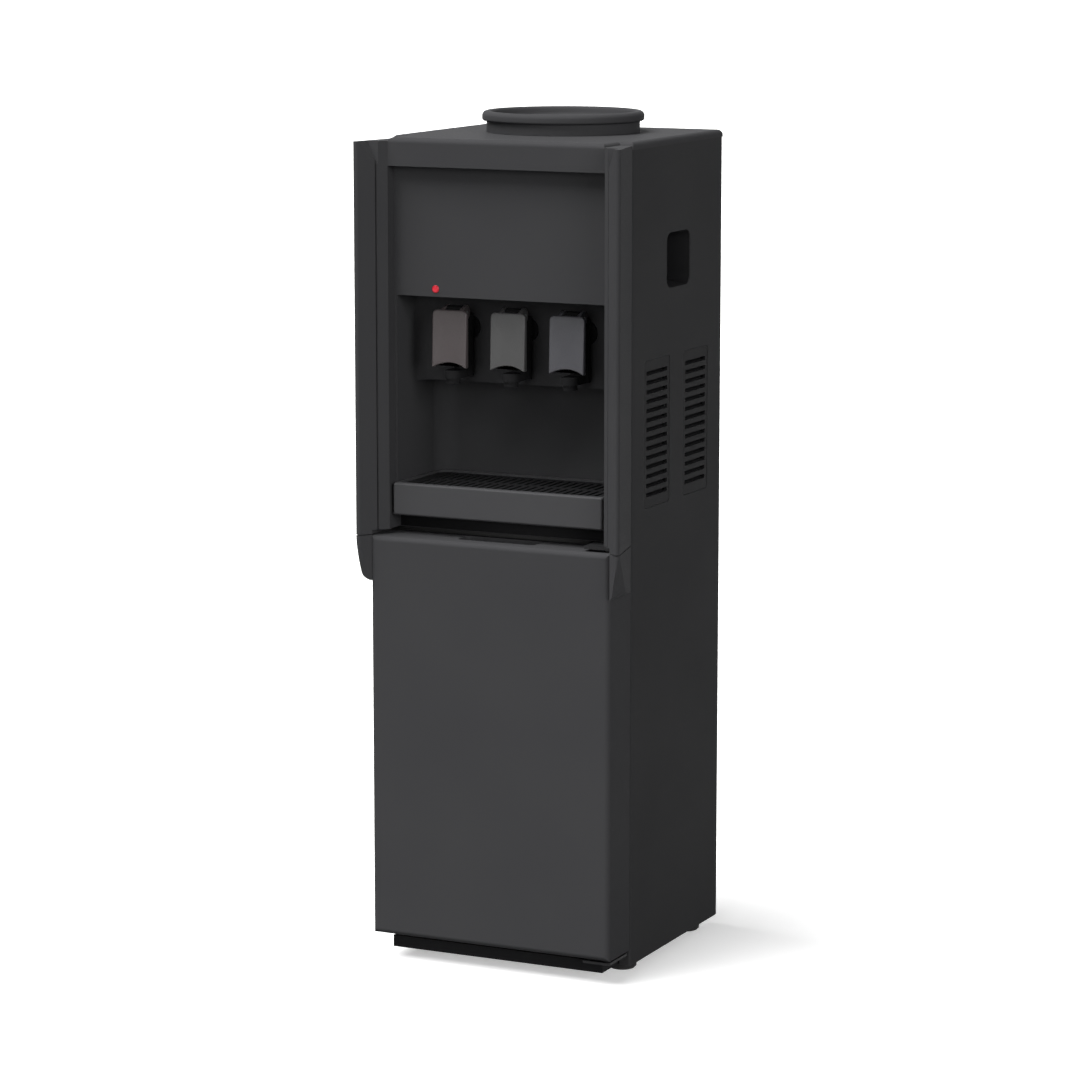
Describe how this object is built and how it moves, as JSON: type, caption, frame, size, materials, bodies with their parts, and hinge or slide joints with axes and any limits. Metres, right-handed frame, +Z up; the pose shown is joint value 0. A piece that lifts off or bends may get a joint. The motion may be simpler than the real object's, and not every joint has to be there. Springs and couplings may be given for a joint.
{
  "type": "water dispenser",
  "caption": "Free-standing top-loading water dispenser with flared front cheeks, push-lever taps over a drip tray in an alcove, a hinged storage cabinet and a bottle collar on top.",
  "frame": {"origin": "on the floor, under the middle of the part's box", "axes": "+Z up, the front with the taps and the door faces -Y, +X is to the right seen from the front"},
  "size_m": [0.34, 0.334, 1.007],
  "materials": {
    "housing": "black moulded plastic with a fine spark texture, satin",
    "side_sheet": "black powder coat on steel sheet, satin",
    "dark_trim": "black moulded plastic, plain matt",
    "tray": "black moulded plastic, satin",
    "hot_lever": "warm grey plastic, semi-gloss",
    "room_lever": "grey plastic, semi-gloss",
    "cold_lever": "cool grey plastic, semi-gloss",
    "lens": "clear red plastic lens",
    "liner": "grey vacuum-formed plastic",
    "rubber": "black rubber",
    "hose": "milky silicone hose",
    "zinc": "zinc-coated steel, dull",
    "stainless": "brushed stainless steel",
    "foam": "white expanded polystyrene",
    "black_steel": "black enamel on steel",
    "hot_rocker": "red plastic rocker",
    "cold_rocker": "green plastic rocker"
  },
  "bodies": {
    "cabinet": {"right_cheek": "housing", "left_cheek": "housing", "front_housing": "housing", "top_cover": "housing", "right_side_panel": "side_sheet", "left_side_panel": "side_sheet", "right_vent_grilles": "dark_trim", "left_vent_grilles": "dark_trim", "right_grip_pocket": "dark_trim", "left_grip_pocket": "dark_trim", "hot_tap_body": "dark_trim", "room_tap_body": "dark_trim", "cold_tap_body": "dark_trim", "switch_frames": "dark_trim", "base_plate": "dark_trim", "indicator_lens": "lens", "cabinet_liner": "liner", "feet": "rubber", "cord_gland": "rubber", "compressor_mounts": "rubber", "hot_feed_tube": "hose", "room_feed_tube": "hose", "cold_feed_tube": "hose", "back_panel": "zinc", "tank_shelf": "zinc", "tap_lever_pins": "zinc", "back_screws": "zinc", "condenser_clips": "zinc", "hot_tank": "stainless", "cold_tank": "stainless", "drain_spigot": "stainless", "tank_foam": "foam", "compressor": "black_steel", "condenser_tube": "black_steel", "condenser_wires": "black_steel", "hinge_brackets": "black_steel", "hinge_pins": "black_steel"},
    "door": {"door_shell": "housing", "door_liner": "liner", "door_gasket": "rubber"},
    "hot_lever": {"hot_tap_lever": "hot_lever"},
    "room_lever": {"room_tap_lever": "room_lever"},
    "cold_lever": {"cold_tap_lever": "cold_lever"},
    "drip_tray": {"drip_tray": "tray"},
    "drip_grille": {"drip_grille": "tray"},
    "bottle_collar": {"bottle_collar": "housing", "feed_probe": "dark_trim"},
    "hot_switch": {"hot_switch_rocker": "hot_rocker"},
    "cold_switch": {"cold_switch_rocker": "cold_rocker"},
    "drain_cap": {"drain_cap": "dark_trim"}
  },
  "joints": [
    {"name": "door_hinge", "type": "hinge", "parent": "cabinet", "child": "door", "pos_m": [0.147, -0.143, 0.2735], "axis": [0, 0, 1], "range_deg": [0, 110]},
    {"name": "hot_lever_push", "type": "hinge", "parent": "cabinet", "child": "hot_lever", "pos_m": [-0.076, -0.087, 0.776], "axis": [1, 0, 0], "range_deg": [0, 12], "stiffness_Nm_per_rad": 0.3, "springref_deg": -5.73},
    {"name": "room_lever_push", "type": "hinge", "parent": "cabinet", "child": "room_lever", "pos_m": [0, -0.087, 0.776], "axis": [1, 0, 0], "range_deg": [0, 12], "stiffness_Nm_per_rad": 0.3, "springref_deg": -5.73},
    {"name": "cold_lever_push", "type": "hinge", "parent": "cabinet", "child": "cold_lever", "pos_m": [0.076, -0.087, 0.776], "axis": [1, 0, 0], "range_deg": [0, 12], "stiffness_Nm_per_rad": 0.3, "springref_deg": -5.73},
    {"name": "drip_tray_slide", "type": "slide", "parent": "cabinet", "child": "drip_tray", "axis": [0, -1, 0], "range_m": [0, 0.115]},
    {"name": "drip_grille_lift", "type": "slide", "parent": "drip_tray", "child": "drip_grille", "axis": [0, 0, 1], "range_m": [0, 0.06]},
    {"name": "bottle_collar_lift", "type": "slide", "parent": "cabinet", "child": "bottle_collar", "axis": [0, 0, 1], "range_m": [0, 0.12]},
    {"name": "hot_switch_rock", "type": "hinge", "parent": "cabinet", "child": "hot_switch", "pos_m": [0.061, 0.1392, 0.936], "axis": [1, 0, 0], "range_deg": [-18, 0]},
    {"name": "cold_switch_rock", "type": "hinge", "parent": "cabinet", "child": "cold_switch", "pos_m": [0.095, 0.1392, 0.936], "axis": [1, 0, 0], "range_deg": [-18, 0]},
    {"name": "drain_cap_turn", "type": "hinge", "parent": "cabinet", "child": "drain_cap", "pos_m": [-0.076, 0.153, 0.585], "axis": [0, 1, 0], "range_deg": [0, 360]}
  ]
}
